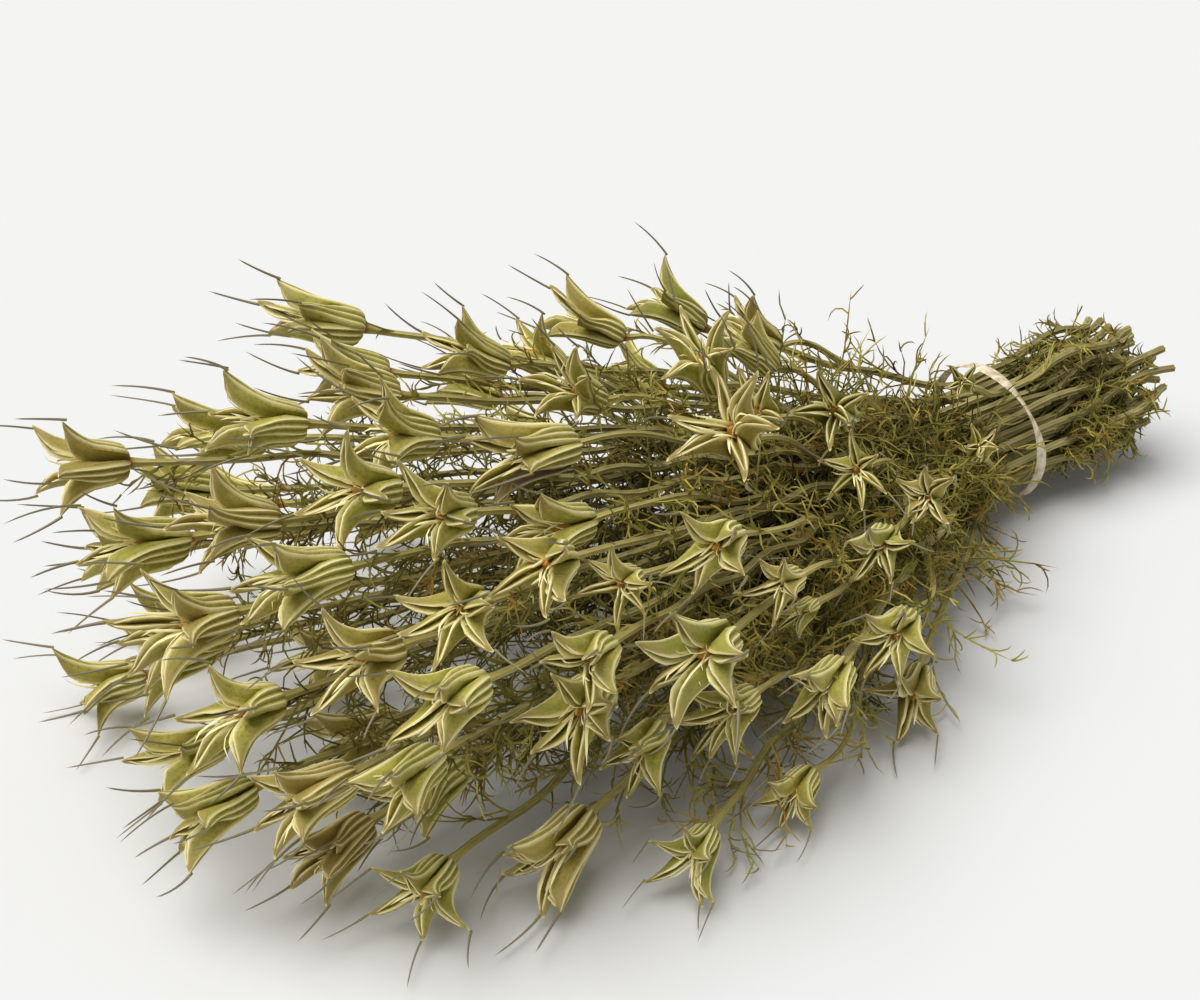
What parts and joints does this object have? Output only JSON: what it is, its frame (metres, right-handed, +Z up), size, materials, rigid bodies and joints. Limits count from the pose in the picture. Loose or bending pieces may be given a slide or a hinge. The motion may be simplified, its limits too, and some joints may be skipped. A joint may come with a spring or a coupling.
{
  "type": "tied bunch of dried nigella seed pods",
  "caption": "Dried nigella stems with beaked, star-shaped seed pods and thread leaves, held in a loose fan by one band tie and lying on their side; for dried-flower displays.",
  "frame": {"origin": "the flat spot under the tie on which the bunch rests", "axes": "X along the stems, cut ends at +X and pods at -X; Y across the bunch, with the side that the picture shows at -Y; Z up"},
  "size_m": [0.4957, 0.3028, 0.1622],
  "materials": {
    "plant": "dry, matt olive to straw-yellow plant skin with pale ribs",
    "tie": "matt off-white band"
  },
  "bodies": {
    "root": {"stem_01": "plant", "stem_02": "plant", "stem_03": "plant", "stem_04": "plant", "stem_05": "plant", "stem_06": "plant", "stem_07": "plant", "stem_08": "plant", "stem_09": "plant", "stem_10": "plant", "stem_11": "plant", "stem_12": "plant", "stem_13": "plant", "stem_14": "plant", "stem_15": "plant", "stem_16": "plant", "stem_17": "plant", "stem_18": "plant", "stem_19": "plant", "stem_20": "plant", "stem_21": "plant", "stem_22": "plant", "stem_23": "plant", "stem_24": "plant", "stem_25": "plant", "stem_26": "plant", "stem_27": "plant", "stem_28": "plant", "stem_29": "plant", "stem_30": "plant", "stem_31": "plant", "stem_32": "plant", "stem_33": "plant", "stem_34": "plant", "stem_35": "plant", "stem_36": "plant", "stem_37": "plant", "stem_38": "plant", "stem_39": "plant", "stem_40": "plant", "stem_41": "plant", "stem_42": "plant", "stem_43": "plant", "stem_44": "plant", "stem_45": "plant", "tie": "tie"}
  },
  "joints": []
}
